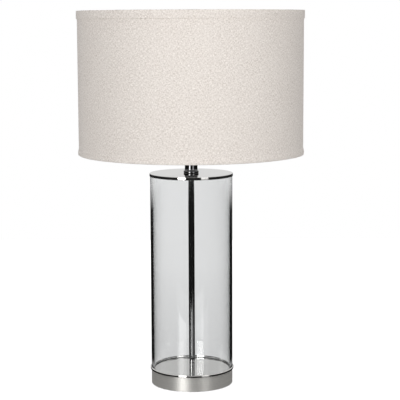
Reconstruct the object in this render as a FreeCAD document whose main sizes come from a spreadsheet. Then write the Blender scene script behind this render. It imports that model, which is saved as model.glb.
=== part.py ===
# A table lamp: a clear glass cylinder between a metal base drum and a metal cap plate, clamped by a hollow
# threaded rod, with a lampholder on a short neck and a drum shade held by the lampholder's ring.
# Millimetres, +Z up, the origin on the lamp's axis at the underside of the felt. The cord leaves at +Y.
import FreeCAD, Part

import math
import os

import Sketcher
from FreeCAD import Rotation, Vector

# Driving sizes ------------------------------------------------------------------------------------

SIZES = {
    # base
    "felt_margin": 4.3,  # the felt's edge inside the drum's outside
    "felt_thickness": 2.0,
    "drum_lift": 1.0,  # the drum's foot above the floor
    "rim_overhang": 2.0,  # the tray's rim outside the drum
    "drum_height": 26.2,
    "drum_wall": 1.2,
    "drum_edge_round": 0.8,
    "cover_thickness": 1.5,
    "cover_gap": 0.2,  # around the cover and between its screws' bosses and the cover
    "weight_gap": 0.8,  # between the cast weight and the drum's wall
    "weight_thickness": 17.0,
    "counterbore_radius": 15.0,
    "channel_depth": 7.0,
    "channel_width": 10.0,
    "boss_radius": 6.0,
    "boss_inset": 22.3,  # the screw bosses' centres inside the drum's outside
    "screw_radius": 2.0,
    "screw_length": 12.0,
    "screw_head_radius": 4.0,
    "screw_slot": 0.9,
    # cord inlet
    "inlet_hole_radius": 5.5,
    "inlet_bore_radius": 3.75,
    "inlet_flange_radius": 7.5,
    "inlet_flange_thickness": 1.6,
    # tray and glass
    "tray_thickness": 1.0,
    "tray_rim_height": 4.3,
    "tray_rim_wall": 1.6,
    "tray_rim_round": 0.7,
    "glass_radius": 74.3,
    "glass_wall": 4.5,
    "glass_height": 356.0,
    "glass_edge_round": 1.0,
    "glass_to_rim": 0.4,
    "gasket_thickness": 0.8,
    "gasket_inset": 0.5,  # the gaskets' edges inside the glass wall's faces
    # cap plate
    "cap_thickness": 1.5,
    "cap_rim_height": 5.0,
    "cap_rim_wall": 0.8,
    "cap_edge_round": 0.6,
    "glass_to_cap": 0.2,
    # rod, tube and fasteners
    "rod_radius": 4.8,
    "rod_bore_radius": 3.2,
    "rod_gap": 0.2,  # around the rod in every hole that it passes
    "rod_below_nut": 1.0,
    "tube_radius": 5.5,
    "tube_wall": 0.5,
    "nut_flats": 17.0,
    "nut_height": 5.0,
    "cap_nut_flats": 14.0,
    "cap_nut_height": 4.0,
    "washer_radius": 12.0,
    "washer_thickness": 1.5,
    "cap_washer_radius": 9.0,
    "cap_washer_thickness": 1.2,
    "spring_washer_radius": 9.0,
    "spring_washer_thickness": 1.8,
    "spring_washer_split": 1.5,
    # neck
    "neck_radius": 11.45,
    "neck_wall": 1.5,
    "neck_height": 22.5,
    "neck_flare": 0.5,
    "neck_flare_height": 2.5,
    "foot_ring_radius": 13.45,
    "foot_ring_height": 4.3,
    "foot_ring_round": 1.1,
    # lampholder
    "holder_radius": 20.0,
    "holder_wall": 1.8,
    "holder_cap_height": 17.0,
    "holder_dome_height": 9.0,
    "holder_boss_height": 3.5,
    "holder_floor": 2.5,
    "holder_body_height": 47.5,
    "flange_radius": 24.0,
    "flange_thickness": 2.5,
    "flange_height": 24.0,  # its upper face above the holder body's foot
    "grub_radius": 1.5,
    "grub_length": 4.0,
    "insulator_thickness": 16.0,
    "insulator_gap": 0.2,
    "insulator_ledge": 1.5,
    "shell_radius": 13.9,
    "shell_wall": 0.4,
    "shell_height": 25.0,
    "shell_flange_radius": 16.0,
    "contact_width": 5.0,
    "contact_thickness": 0.5,
    "contact_rise": 2.2,
    "terminal_offset": 9.5,
    "terminal_head_radius": 2.6,
    "terminal_head_height": 1.6,
    "terminal_radius": 1.4,
    "terminal_length": 5.0,
    # push-through switch bar
    "bar_radius": 3.0,
    "bar_gap": 0.3,
    "bar_height": 8.0,  # its axis above the insulator's underside
    "bar_travel": 5.0,
    "bar_stop_gap": 0.4,
    "button_radius": 4.5,
    "button_length": 4.0,
    # clamp ring and fitter
    "fitter_radius": 25.5,
    "fitter_thickness": 2.0,
    "fitter_gap": 0.6,  # around the holder inside the fitter ring
    "turn_gap": 0.1,  # between faces that turn on each other
    "ring_gap": 0.3,  # around the holder inside the clamp ring and its washer
    "ring_washer_radius": 25.0,
    "ring_washer_thickness": 0.8,
    "clamp_ring_radius": 28.5,
    "clamp_ring_height": 8.5,
    "clamp_ring_round": 1.5,
    # shade
    "shade_radius": 203.0,  # over the bindings
    "shade_height": 255.0,
    "shade_drop": 28.2,  # the fitter ring's underside above the shade's lower edge
    "binding_thickness": 1.5,
    "binding_lip": 0.8,  # the binding's inner, thinner leg
    "binding_cap": 1.0,  # the binding over the shade's edge
    "top_binding_height": 14.5,
    "bottom_binding_height": 12.0,
    "binding_leg_height": 10.0,
    "binding_round": 1.0,
    "fabric_thickness": 0.6,
    "lining_thickness": 0.5,
    "layer_gap": 0.1,  # between the shade's layers
    "wire_radius": 1.5,
    "weld_gap": 0.2,
    "spoke_slot": 4.0,
    # bulb
    "globe_radius": 30.0,
    "bulb_length": 106.0,
    "envelope_wall": 0.8,
    "bulb_neck_radius": 12.2,
    "bulb_cap_radius": 13.1,
    "bulb_cap_wall": 0.4,
    "bulb_cap_height": 24.0,
    "bulb_cap_taper": 4.0,
    "bulb_contact_radius": 4.0,
    "bulb_contact_height": 1.5,
    "bulb_contact_gap": 0.3,
}
SCREW_COUNT = 3
SPOKE_COUNT = 3

doc = FreeCAD.newDocument("table_lamp")
sheet = doc.addObject("Spreadsheet::Sheet", "Sizes")
for row, (name, number) in enumerate(SIZES.items(), 1):
    sheet.set(f"A{row}", name)
    sheet.set(f"B{row}", str(number))
    sheet.setAlias(f"B{row}", name)
doc.recompute()


# Formulas on the sheet ----------------------------------------------------------------------------


class Formula:
    """Arithmetic on the sheet's cells: the text that a binding takes, and its value now."""

    def __init__(self, text, value):
        self.text = text
        self.value = value

    @staticmethod
    def of(other):
        return other if isinstance(other, Formula) else Formula(repr(other), other)

    def __add__(self, other):
        other = Formula.of(other)
        return Formula(f"({self.text} + {other.text})", self.value + other.value)

    def __sub__(self, other):
        other = Formula.of(other)
        return Formula(f"({self.text} - {other.text})", self.value - other.value)

    def __mul__(self, other):
        other = Formula.of(other)
        return Formula(f"({self.text} * {other.text})", self.value * other.value)

    def __truediv__(self, other):
        other = Formula.of(other)
        return Formula(f"({self.text} / {other.text})", self.value / other.value)

    def __neg__(self):
        return self * -1

    def root(self):
        return Formula(f"sqrt({self.text})", math.sqrt(self.value))


class Sizes:
    """The sheet's cells by name, each as a formula."""

    def __getattr__(self, name):
        return Formula(f"Sizes.{name}", float(sheet.get(name)))


size = Sizes()
ZERO = Formula.of(0.0)
TO_FRONT = Rotation(Vector(1, 0, 0), 90)  # these turn a piece's own axis from +Z
TO_BACK = Rotation(Vector(1, 0, 0), -90)
TO_RIGHT = Rotation(Vector(0, 1, 0), 90)


def bind(thing, path, formula):
    """Tie one property of an object to a formula on the sheet."""
    thing.setExpression(path, Formula.of(formula).text)


def place(thing, x=ZERO, y=ZERO, z=ZERO):
    """Tie an object's position to the sheet."""
    for axis, formula in (("x", x), ("y", y), ("z", z)):
        bind(thing, f"Placement.Base.{axis}", formula)


# Ways of making a piece ---------------------------------------------------------------------------


def origin_plane(body, role):
    return next(plane for plane in body.Origin.OriginFeatures if plane.Role == role)


def new_sketch(body, name, role="XZ_Plane"):
    sketch = body.newObject("Sketcher::SketchObject", name)
    sketch.AttachmentSupport = [(origin_plane(body, role), "")]
    sketch.MapMode = "FlatFace"
    return sketch


def pin_point(sketch, line, end, x, y):
    """Hold a line's end at a place given by two formulas; a zero holds it on the axis."""
    for kind, axis, formula in (("DistanceX", -2, x), ("DistanceY", -1, y)):
        if formula is ZERO:
            sketch.addConstraint(Sketcher.Constraint("PointOnObject", line, end, axis))
        else:
            pin = Sketcher.Constraint(kind, -1, 1, line, end, formula.value)
            bind(sketch, f"Constraints[{sketch.addConstraint(pin)}]", formula)


def draw_outline(sketch, corners):
    """Draw a closed outline of straight lines through corners given as pairs of formulas."""
    corners = [(Formula.of(x) if x != 0 else ZERO, Formula.of(y) if y != 0 else ZERO) for x, y in corners]
    following = corners[1:] + corners[:1]
    for (x0, y0), (x1, y1) in zip(corners, following):
        start = Vector(x0.value, y0.value, 0)
        end = Vector(x1.value, y1.value, 0)
        sketch.addGeometry(Part.LineSegment(start, end), False)
    for line, (x, y) in enumerate(corners):
        sketch.addConstraint(Sketcher.Constraint("Coincident", line, 2, (line + 1) % len(corners), 1))
        pin_point(sketch, line, 1, x, y)


def revolve(body, sketch, kind="Revolution"):
    turn = body.newObject(f"PartDesign::{kind}", f"{body.Name}_{kind.lower()}")
    turn.Profile = sketch
    turn.ReferenceAxis = (sketch, ["V_Axis"])
    turn.Angle = 360
    return turn


def turned(name, corners, z=ZERO):
    """A turned piece: half its section as (radius, height) corners, lifted to its seat."""
    body = doc.addObject("PartDesign::Body", name)
    sketch = new_sketch(body, f"{name}_section")
    draw_outline(sketch, corners)
    revolve(body, sketch)
    place(body, z=z)
    return body


def ring(name, inner, outer, height, z):
    """A turned piece with a plain rectangular section."""
    return turned(name, [(inner, 0), (outer, 0), (outer, height), (inner, height)], z)


def round_edges(body, radius, spots):
    """Round a turned piece's circular edges, each found by its radius and height in the piece."""
    doc.recompute()
    base = body.Tip
    names = []
    for spot_radius, spot_height in spots:
        wanted = Vector(0, 0, Formula.of(spot_height).value)
        for number, edge in enumerate(base.Shape.Edges, 1):
            circle = edge.Curve
            if isinstance(circle, Part.Circle) and circle.Center.distanceToPoint(wanted) < 1e-4:
                if abs(circle.Radius - spot_radius.value) < 1e-4:
                    names.append(f"Edge{number}")
    if len(names) != len(spots):
        raise ValueError(f"{body.Name}: {len(names)} of {len(spots)} edges found")
    fillet = body.newObject("PartDesign::Fillet", f"{body.Name}_fillet_{len(body.Group)}")
    fillet.Base = (base, names)
    bind(fillet, "Radius", radius)


def cylinder(name, radius, height, x=ZERO, y=ZERO, z=ZERO, turn=None):
    """A plain cylinder that starts at a point and runs along its own axis."""
    rod = doc.addObject("Part::Cylinder", name)
    if turn is not None:
        rod.Placement = FreeCAD.Placement(Vector(), turn)
    bind(rod, "Radius", radius)
    bind(rod, "Height", height)
    place(rod, x, y, z)
    return rod


def block(name, width, depth, height, x=ZERO, y=ZERO, z=ZERO):
    """A box centred on x and starting at y and z."""
    solid = doc.addObject("Part::Box", name)
    bind(solid, "Length", width)
    bind(solid, "Width", depth)
    bind(solid, "Height", height)
    place(solid, x - Formula.of(width) / 2, y, z)
    return solid


def joined(kind, name, members):
    """Several objects as one: a Fuse, a Common or a Compound."""
    group = doc.addObject("Part::Compound" if kind == "Compound" else f"Part::Multi{kind}", name)
    if kind == "Compound":
        group.Links = members
    else:
        group.Shapes = members
    return group


def cut(name, base, tools):
    """A piece with one or more tools taken away; every one of them has to remove something."""
    result = doc.addObject("Part::Cut", name)
    result.Base = base
    result.Tool = tools[0] if len(tools) == 1 else joined("Fuse", f"{name}_tools", tools)
    doc.recompute()
    for tool in tools:
        if base.Shape.common(tool.Shape).Volume < 1e-3:
            raise ValueError(f"{tool.Name} takes nothing from {base.Name}")
    return result


def around(count):
    """The cosine and sine of evenly spaced directions, the first at the front, -Y."""
    for step in range(count):
        angle = 2 * math.pi * step / count - math.pi / 2
        yield math.cos(angle), math.sin(angle)


def hex_nut(name, flats, height, bore, z):
    """A hexagon nut with its corners turned off at both faces."""
    corner = flats / 2 / math.cos(math.pi / 6)
    chamfer = corner - flats / 2
    prism = doc.addObject("Part::Prism", f"{name}_hexagon")
    prism.Polygon = 6
    bind(prism, "Circumradius", corner)
    bind(prism, "Height", height)
    place(prism, z=z)
    section = [
        (bore, 0),
        (flats / 2, 0),
        (corner, chamfer),
        (corner, height - chamfer),
        (flats / 2, height),
        (bore, height),
    ]
    return joined("Common", name, [prism, turned(f"{name}_turned", section, z)])


# Heights in the stack, from the floor up ----------------------------------------------------------

drum_top = size.drum_lift + size.drum_height
weight_top = drum_top - size.drum_wall
weight_foot = weight_top - size.weight_thickness
cover_top = size.felt_thickness + size.cover_thickness
nut_ceiling = weight_foot + size.channel_depth
inlet_height = weight_foot + size.channel_depth / 2
tray_floor = drum_top + size.tray_thickness
glass_foot = tray_floor + size.gasket_thickness
glass_top = glass_foot + size.glass_height
cap_underside = glass_top + size.gasket_thickness
cap_top = cap_underside + size.cap_thickness
neck_top = cap_top + size.neck_height
holder_floor_top = neck_top + size.holder_boss_height + size.holder_floor
grub_level = neck_top + size.holder_boss_height / 2 + size.layer_gap
insulator_foot = neck_top + size.holder_cap_height - size.insulator_ledge
holder_body_foot = neck_top + size.holder_cap_height
flange_top = holder_body_foot + size.flange_height
holder_top = holder_body_foot + size.holder_body_height
insulator_top = insulator_foot + size.insulator_thickness
bar_level = insulator_foot + size.bar_height
shade_foot = flange_top - size.shade_drop
shade_top = shade_foot + size.shade_height
fitter_foot = flange_top + size.turn_gap
ring_washer_foot = fitter_foot + size.fitter_thickness + size.turn_gap
clamp_ring_foot = ring_washer_foot + size.ring_washer_thickness + size.turn_gap

rod_hole = size.rod_radius + size.rod_gap
tray_inside = size.glass_radius + size.glass_to_rim
tray_outside = tray_inside + size.tray_rim_wall
drum_radius = tray_outside - size.rim_overhang
drum_inside = drum_radius - size.drum_wall
felt_radius = drum_radius - size.felt_margin
boss_circle = drum_radius - size.boss_inset
glass_inside = size.glass_radius - size.glass_wall
holder_inside = size.holder_radius - size.holder_wall
pieces = []


# Base ---------------------------------------------------------------------------------------------


def slotted_screw(name, head, head_height, shank, length, countersunk=False):
    """A screw that points up, its slotted head at the bottom."""
    shoulder = shank if countersunk else head
    section = [(0, 0), (head, 0), (shoulder, head_height)]
    if not countersunk:
        section.append((shank, head_height))
    section += [(shank, length), (0, length)]
    solid = turned(f"{name}_turned", section)
    slot = block(f"{name}_slot", head * 3, size.screw_slot, head_height / 2, y=-size.screw_slot / 2)
    return cut(f"{name}_pattern", solid, [slot])


def copies(name, pattern, spots):
    """The same piece set at several places, as one group of separate solids."""
    links = []
    for number, (x, y, z) in enumerate(spots, 1):
        link = doc.addObject("Part::Compound", f"{name}_{number}")
        link.Links = [pattern]
        place(link, x, y, z)
        links.append(link)
    return joined("Compound", name, links)


def make_felt_pad():
    """The felt disc under the base, all that the lamp stands on."""
    thickness = size.felt_thickness
    return turned("felt_pad", [(0, 0), (felt_radius, 0), (felt_radius, thickness), (0, thickness)])


def screw_circle():
    return [(boss_circle * across, boss_circle * along) for across, along in around(SCREW_COUNT)]


def make_base_cover():
    """The steel disc that closes the drum, countersunk for its screws."""
    radius = drum_inside - size.cover_gap
    disc = turned(
        "base_cover_disc",
        [(0, 0), (radius, 0), (radius, size.cover_thickness), (0, size.cover_thickness)],
        size.felt_thickness,
    )
    sinks = []
    for number, (x, y) in enumerate(screw_circle(), 1):
        sink = doc.addObject("Part::Cone", f"base_cover_sink_{number}")
        bind(sink, "Radius1", size.screw_head_radius + size.cover_gap)
        bind(sink, "Radius2", size.screw_radius + size.cover_gap)
        bind(sink, "Height", size.cover_thickness)
        place(sink, x, y, size.felt_thickness)
        sinks.append(sink)
    return cut("base_cover", disc, sinks)


def make_cover_screws():
    """The countersunk screws that hold the cover to the weight's bosses."""
    pattern = slotted_screw(
        "cover_screw",
        size.screw_head_radius,
        size.cover_thickness,
        size.screw_radius,
        size.screw_length,
        countersunk=True,
    )
    return copies("cover_screws", pattern, [(x, y, size.felt_thickness) for x, y in screw_circle()])


def make_base_drum():
    """The brushed cup that hides the weight, with a hole for the rod and one for the cord inlet."""
    wall = size.drum_wall
    section = [
        (rod_hole, size.drum_height - wall),
        (drum_inside, size.drum_height - wall),
        (drum_inside, 0),
        (drum_radius, 0),
        (drum_radius, size.drum_height),
        (rod_hole, size.drum_height),
    ]
    cup = turned("base_drum_cup", section, size.drum_lift)
    round_edges(cup, size.drum_edge_round, [(drum_radius, size.drum_height)])
    hole = cylinder(
        "base_drum_inlet_hole",
        size.inlet_hole_radius,
        wall * 4,
        y=drum_inside - wall * 1.5,
        z=inlet_height,
        turn=TO_BACK,
    )
    return cut("base_drum", cup, [hole])


def make_base_weight():
    """The cast disc: recessed for the nut, channelled for the cord, with bosses for the cover's screws."""
    radius = drum_inside - size.weight_gap
    section = [
        (rod_hole, size.channel_depth),
        (size.counterbore_radius, size.channel_depth),
        (size.counterbore_radius, 0),
        (radius, 0),
        (radius, size.weight_thickness),
        (rod_hole, size.weight_thickness),
    ]
    solids = [turned("base_weight_disc", section, weight_foot)]
    tools = []
    for number, (x, y) in enumerate(screw_circle(), 1):
        boss_foot = cover_top + size.cover_gap
        height = weight_foot - boss_foot + size.weight_thickness / 2
        solids.append(cylinder(f"base_weight_boss_{number}", size.boss_radius, height, x, y, boss_foot))
        hole_radius = size.screw_radius + size.cover_gap
        hole_depth = size.screw_length - size.cover_thickness + size.screw_radius
        tools.append(cylinder(f"base_weight_hole_{number}", hole_radius, hole_depth, x, y, cover_top))
    channel_length = radius + size.drum_wall
    tools.append(
        block("base_weight_channel", size.channel_width, channel_length, size.channel_depth, z=weight_foot)
    )
    notch_width = (size.inlet_flange_radius + size.weight_gap) * 2
    notch_depth = size.inlet_flange_thickness * 3
    tools.append(
        block(
            "base_weight_notch",
            notch_width,
            notch_depth + size.weight_gap,
            inlet_height + notch_width / 2 - weight_foot,
            y=radius - notch_depth,
            z=weight_foot,
        )
    )
    return cut("base_weight", joined("Fuse", "base_weight_casting", solids), tools)


def make_cord_grommet():
    """The grommet in the drum's back wall, with a flange on each side; its axis runs out along +Y."""
    flange = size.inlet_flange_radius
    inner_reach = (drum_inside * drum_inside - flange * flange).root() - size.layer_gap
    throat = drum_radius - inner_reach
    thickness = size.inlet_flange_thickness
    neck = size.inlet_hole_radius - size.layer_gap
    section = [
        (size.inlet_bore_radius, 0),
        (flange, 0),
        (flange, thickness),
        (neck, thickness),
        (neck, thickness + throat),
        (flange, thickness + throat),
        (flange, thickness * 2 + throat),
        (size.inlet_bore_radius, thickness * 2 + throat),
    ]
    grommet = turned("cord_grommet", section)
    outer_face = (flange, thickness * 2 + throat)
    round_edges(grommet, thickness / 3, [outer_face, (size.inlet_bore_radius, thickness * 2 + throat)])
    grommet.Placement = FreeCAD.Placement(Vector(), TO_BACK)
    place(grommet, y=inner_reach - thickness, z=inlet_height)
    return grommet


def make_base_fasteners():
    """The washer, the split spring washer and the nut on the rod's lower end, in the weight's recess."""
    washer_foot = nut_ceiling - size.washer_thickness
    spring_foot = washer_foot - size.spring_washer_thickness
    washer = ring("base_washer", rod_hole, size.washer_radius, size.washer_thickness, washer_foot)
    whole = ring(
        "spring_washer_ring", rod_hole, size.spring_washer_radius, size.spring_washer_thickness, spring_foot
    )
    split = block(
        "spring_washer_gap",
        size.spring_washer_split,
        size.spring_washer_radius * 2,
        size.spring_washer_thickness,
        z=spring_foot,
    )
    spring_washer = cut("spring_washer", whole, [split])
    nut_bore = size.rod_radius + size.layer_gap
    nut_foot = spring_foot - size.nut_height
    nut = hex_nut("base_nut", size.nut_flats, size.nut_height, nut_bore, nut_foot)
    return [washer, spring_washer, nut]


pieces += [make_felt_pad(), make_base_cover(), make_cover_screws(), make_base_drum(), make_base_weight()]
pieces += [make_cord_grommet()] + make_base_fasteners()


# Column -------------------------------------------------------------------------------------------


def make_glass_tray():
    """The polished dish on the drum, whose rim stands round the glass's foot."""
    rim = size.tray_rim_height
    section = [
        (rod_hole, 0),
        (tray_outside, 0),
        (tray_outside, rim),
        (tray_inside, rim),
        (tray_inside, size.tray_thickness),
        (rod_hole, size.tray_thickness),
    ]
    tray = turned("glass_tray", section, drum_top)
    round_edges(tray, size.tray_rim_round, [(tray_outside, 0), (tray_outside, rim), (tray_inside, rim)])
    return tray


def make_gasket(name, z):
    """A clear ring between the glass's edge and the metal."""
    inside = glass_inside + size.gasket_inset
    outside = size.glass_radius - size.gasket_inset
    return ring(name, inside, outside, size.gasket_thickness, z)


def make_glass_cylinder():
    """The clear tube of the body, with softened edges."""
    glass = ring("glass_cylinder", glass_inside, size.glass_radius, size.glass_height, glass_foot)
    walls = (glass_inside, size.glass_radius)
    edges = [(radius, height) for radius in walls for height in (0, size.glass_height)]
    round_edges(glass, size.glass_edge_round, edges)
    return glass


def make_threaded_rod():
    """The hollow rod from the base nut to the lampholder; it clamps the stack and carries the wires."""
    foot = nut_ceiling - size.washer_thickness - size.spring_washer_thickness - size.nut_height
    foot = foot - size.rod_below_nut
    return ring("threaded_rod", size.rod_bore_radius, size.rod_radius, holder_floor_top - foot, foot)


def make_centre_tube():
    """The polished sleeve that hides the rod inside the glass."""
    inside = size.tube_radius - size.tube_wall
    return ring("centre_tube", inside, size.tube_radius, cap_underside - tray_floor, tray_floor)


def make_cap_plate():
    """The polished lid, whose rim reaches down over the glass."""
    inside = size.glass_radius + size.glass_to_cap
    outside = inside + size.cap_rim_wall
    section = [
        (rod_hole, size.cap_rim_height - size.cap_thickness),
        (inside, size.cap_rim_height - size.cap_thickness),
        (inside, 0),
        (outside, 0),
        (outside, size.cap_rim_height),
        (rod_hole, size.cap_rim_height),
    ]
    plate = turned("cap_plate", section, cap_top - size.cap_rim_height)
    round_edges(plate, size.cap_edge_round, [(outside, size.cap_rim_height)])
    return plate


def make_neck_collar():
    """The dark neck: a foot ring on the cap plate and a slim sleeve up to the lampholder."""
    inside = size.neck_radius - size.neck_wall
    foot_top = size.foot_ring_height
    section = [
        (inside, 0),
        (size.foot_ring_radius, 0),
        (size.foot_ring_radius, foot_top),
        (size.neck_radius + size.neck_flare, foot_top),
        (size.neck_radius, foot_top + size.neck_flare_height),
        (size.neck_radius, size.neck_height),
        (rod_hole, size.neck_height),
        (rod_hole, size.neck_height - size.neck_wall),
        (inside, size.neck_height - size.neck_wall),
    ]
    neck = turned("neck_collar", section, cap_top)
    round_edges(neck, size.foot_ring_round, [(size.foot_ring_radius, 0), (size.foot_ring_radius, foot_top)])
    return neck


def make_cap_fasteners():
    """The washer and nut that clamp the cap plate, hidden inside the neck."""
    washer = ring("cap_washer", rod_hole, size.cap_washer_radius, size.cap_washer_thickness, cap_top)
    nut = hex_nut(
        "cap_nut",
        size.cap_nut_flats,
        size.cap_nut_height,
        size.rod_radius + size.layer_gap,
        cap_top + size.cap_washer_thickness,
    )
    return [washer, nut]


pieces += [make_glass_tray(), make_gasket("lower_gasket", tray_floor), make_glass_cylinder()]
pieces += [make_gasket("upper_gasket", glass_top), make_threaded_rod(), make_centre_tube(), make_cap_plate()]
pieces += [make_neck_collar()] + make_cap_fasteners()


# Lampholder ---------------------------------------------------------------------------------------


def make_holder_cap():
    """The lampholder's lower cup, screwed on the rod and locked by a grub screw."""
    inside = holder_inside
    ledge_inside = inside - size.insulator_ledge
    dome_foot = size.holder_boss_height
    dome_top = dome_foot + size.holder_dome_height
    floor_top = dome_foot + size.holder_floor
    section = [
        (size.rod_radius + size.layer_gap, 0),
        (size.neck_radius, 0),
        (size.neck_radius, dome_foot),
        (size.holder_radius - size.holder_wall, dome_foot + size.holder_wall),
        (size.holder_radius, dome_top),
        (size.holder_radius, size.holder_cap_height),
        (inside, size.holder_cap_height),
        (inside, size.holder_cap_height - size.insulator_ledge),
        (ledge_inside, size.holder_cap_height - size.insulator_ledge),
        (ledge_inside, floor_top + size.holder_wall),
        (size.rod_radius + size.layer_gap, floor_top),
    ]
    cup = turned("holder_cap_cup", section, neck_top)
    hole = cylinder(
        "holder_cap_grub_hole",
        size.grub_radius + size.layer_gap,
        size.neck_radius,
        y=-size.rod_radius,
        z=grub_level,
        turn=TO_FRONT,
    )
    return cut("holder_cap", cup, [hole])


def make_grub_screw():
    """The small slotted screw that locks the holder cap on the rod."""
    start = size.rod_radius + size.layer_gap
    radius, length = size.grub_radius, size.grub_length
    pin = cylinder("grub_screw_pin", radius, length, y=-start, z=grub_level, turn=TO_FRONT)
    slot_width = size.screw_slot / 2
    slot = block(
        "grub_screw_slot",
        slot_width,
        slot_width * 2,
        size.grub_radius * 3,
        y=-start - size.grub_length,
        z=grub_level - size.grub_radius * 1.5,
    )
    return cut("grub_screw", pin, [slot])


def bar_hole(name):
    """The passage of the switch bar through the lampholder, along X."""
    reach = size.holder_radius + size.holder_wall
    return cylinder(
        name,
        size.bar_radius + size.bar_gap,
        reach * 2,
        x=-reach,
        z=bar_level,
        turn=TO_RIGHT,
    )


def make_holder_body():
    """The lampholder's sleeve: a flange for the shade's fitter ring and a skirt for the clamp ring."""
    flange_foot = size.flange_height - size.flange_thickness
    section = [
        (holder_inside, 0),
        (size.holder_radius, 0),
        (size.holder_radius, flange_foot),
        (size.flange_radius, flange_foot),
        (size.flange_radius, size.flange_height),
        (size.holder_radius, size.flange_height),
        (size.holder_radius, size.holder_body_height),
        (holder_inside, size.holder_body_height),
    ]
    sleeve = turned("holder_sleeve", section, holder_body_foot)
    return cut("holder_body", sleeve, [bar_hole("holder_bar_hole")])


def make_socket_insulator():
    """The ceramic disc on the holder cap's ledge: it carries the contacts and lets the switch bar through."""
    radius = holder_inside - size.insulator_gap
    section = [(0, 0), (radius, 0), (radius, size.insulator_thickness), (0, size.insulator_thickness)]
    disc = turned("insulator_disc", section, insulator_foot)
    tools = [bar_hole("insulator_bar_hole")]
    for side, spot in enumerate((size.terminal_offset, -size.terminal_offset), 1):
        tools.append(
            cylinder(
                f"insulator_terminal_hole_{side}",
                size.terminal_radius + size.layer_gap,
                size.terminal_length,
                y=spot,
                z=insulator_foot,
            )
        )
    return cut("socket_insulator", disc, tools)


def make_terminal_screws():
    """The two brass screws under the insulator that take the wires."""
    pattern = slotted_screw(
        "terminal_screw",
        size.terminal_head_radius,
        size.terminal_head_height,
        size.terminal_radius,
        size.terminal_head_height + size.terminal_length - size.layer_gap,
    )
    level = insulator_foot - size.terminal_head_height
    spots = [(ZERO, side, level) for side in (size.terminal_offset, -size.terminal_offset)]
    return copies("terminal_screws", pattern, spots)


def make_screw_shell():
    """The brass shell that the bulb's cap screws into, flanged at its foot."""
    inside = size.shell_radius - size.shell_wall
    thickness = size.shell_wall * 2
    section = [
        (inside, 0),
        (size.shell_flange_radius, 0),
        (size.shell_flange_radius, thickness),
        (size.shell_radius, thickness),
        (size.shell_radius, size.shell_height),
        (inside, size.shell_height),
    ]
    return turned("screw_shell", section, insulator_top)


def make_centre_contact():
    """The sprung brass strip that meets the bulb's centre contact."""
    body = doc.addObject("PartDesign::Body", "centre_contact")
    sketch = new_sketch(body, "centre_contact_bend")
    thick = size.contact_thickness
    reach = size.bulb_contact_radius
    rise = size.contact_rise
    outline = [
        (-reach * 2, 0),
        (-reach, 0),
        (-reach / 2, rise),
        (reach, rise),
        (reach, rise + thick),
        (-reach / 2 - thick / 2, rise + thick),
        (-reach - thick / 2, thick),
        (-reach * 2, thick),
    ]
    draw_outline(sketch, outline)
    strip = body.newObject("PartDesign::Pad", "centre_contact_strip")
    strip.Profile = sketch
    strip.Midplane = True
    bind(strip, "Length", size.contact_width)
    place(body, z=insulator_top)
    return body


def make_switch_bar():
    """The bar that pushes through the lampholder, with a button at each end that stops its travel."""
    wall_reach = size.holder_radius
    left_face = wall_reach + size.bar_stop_gap + size.bar_travel
    right_face = wall_reach + size.bar_stop_gap
    button_end = left_face + size.button_length
    section = [
        (0, 0),
        (size.button_radius, 0),
        (size.button_radius, size.button_length),
        (size.bar_radius, size.button_length),
        (size.bar_radius, button_end + right_face),
        (size.button_radius, button_end + right_face),
        (size.button_radius, button_end + right_face + size.button_length),
        (0, button_end + right_face + size.button_length),
    ]
    bar = turned("switch_bar", section)
    far_end = button_end + right_face + size.button_length
    round_edges(bar, size.button_length / 3, [(size.button_radius, 0), (size.button_radius, far_end)])
    bar.Placement = FreeCAD.Placement(Vector(), TO_RIGHT)
    place(bar, x=-button_end, z=bar_level)
    return bar


def make_clamp_ring():
    """The ring that screws down the lampholder's skirt and holds the shade's fitter on the flange."""
    washer = ring(
        "ring_washer",
        size.holder_radius + size.ring_gap,
        size.ring_washer_radius,
        size.ring_washer_thickness,
        ring_washer_foot,
    )
    height = size.clamp_ring_height
    radius = size.clamp_ring_radius
    clamp = ring("clamp_ring", size.holder_radius + size.ring_gap, radius, height, clamp_ring_foot)
    round_edges(clamp, size.clamp_ring_round, [(radius, 0), (radius, height)])
    return [washer, clamp]


pieces += [make_holder_cap(), make_grub_screw(), make_holder_body(), make_socket_insulator()]
pieces += [make_terminal_screws(), make_screw_shell(), make_centre_contact(), make_switch_bar()]
pieces += make_clamp_ring()


# Shade --------------------------------------------------------------------------------------------

fabric_outside = size.shade_radius - size.binding_thickness - size.layer_gap
fabric_inside = fabric_outside - size.fabric_thickness
lining_outside = fabric_inside - size.layer_gap
lining_inside = lining_outside - size.lining_thickness
wire_circle = lining_inside - size.layer_gap - size.wire_radius
leg_outside = wire_circle - size.wire_radius - size.layer_gap
leg_inside = leg_outside - size.binding_lip
edge_inset = size.binding_cap + size.layer_gap
wire_inset = edge_inset + size.wire_radius


def make_shade_layers():
    """The linen drum and the stiff white lining behind it."""
    height = size.shade_height - edge_inset * 2
    foot = shade_foot + edge_inset
    fabric = ring("shade_fabric", fabric_inside, fabric_outside, height, foot)
    lining = ring("shade_lining", lining_inside, lining_outside, height, foot)
    return [fabric, lining]


def make_wire_ring(name, z):
    """A round wire bent to a hoop, which keeps the shade's edge in shape."""
    wire = doc.addObject("Part::Torus", name)
    bind(wire, "Radius1", wire_circle)
    bind(wire, "Radius2", size.wire_radius)
    place(wire, z=z)
    return wire


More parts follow.
